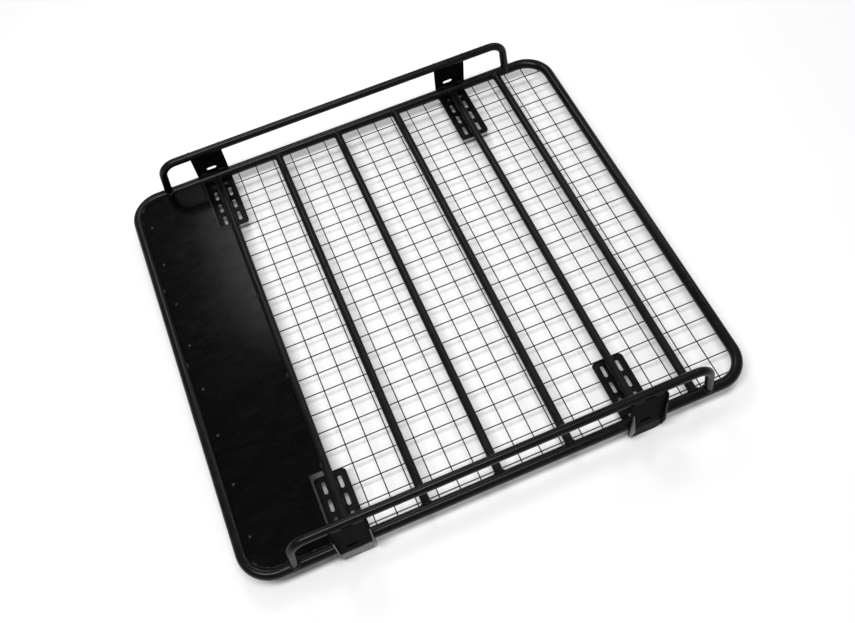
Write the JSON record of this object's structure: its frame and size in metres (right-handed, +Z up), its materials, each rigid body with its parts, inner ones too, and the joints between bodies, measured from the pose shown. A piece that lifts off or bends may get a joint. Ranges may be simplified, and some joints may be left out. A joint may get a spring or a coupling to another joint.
{
  "type": "roof cargo basket",
  "caption": "Low black steel roof tray for a vehicle: bent tube perimeter, crossbars, welded wire deck, sheet front panel, bent side rails and slotted foot plates.",
  "frame": {"origin": "on the ground plane that the four leg plates stand on, in the centre of the perimeter tube's outline", "axes": "+X towards the rear of the vehicle, with the sheet panel at -X, +Y towards the vehicle's left, +Z up"},
  "size_m": [1.25, 1.181, 0.1746],
  "materials": {
    "black_frame": "satin black powder coat on steel tube",
    "black_wire": "satin black powder coat on steel wire",
    "black_plate": "satin black powder coat on steel plate",
    "gloss_black_sheet": "gloss black coat on steel sheet",
    "rivet_black": "satin black rivet heads"
  },
  "bodies": {
    "root": {"base_plate_front_left": "black_plate", "base_plate_front_right": "black_plate", "base_plate_rear_left": "black_plate", "base_plate_rear_right": "black_plate", "crossbar_1": "black_frame", "crossbar_2": "black_frame", "crossbar_3": "black_frame", "crossbar_4": "black_frame", "crossbar_5": "black_frame", "crossbar_6": "black_frame", "front_hoop_tube": "black_frame", "front_panel": "gloss_black_sheet", "left_side_tube": "black_frame", "leg_plate_front_left": "black_plate", "leg_plate_front_right": "black_plate", "leg_plate_rear_left": "black_plate", "leg_plate_rear_right": "black_plate", "mesh_crosswise_wires": "black_wire", "mesh_lengthwise_wires": "black_wire", "panel_rivets": "rivet_black", "panel_stiffener": "gloss_black_sheet", "panel_tack_welds": "black_frame", "rear_hoop_tube": "black_frame", "right_side_tube": "black_frame", "side_rail_left": "black_frame", "side_rail_right": "black_frame"}
  },
  "joints": []
}
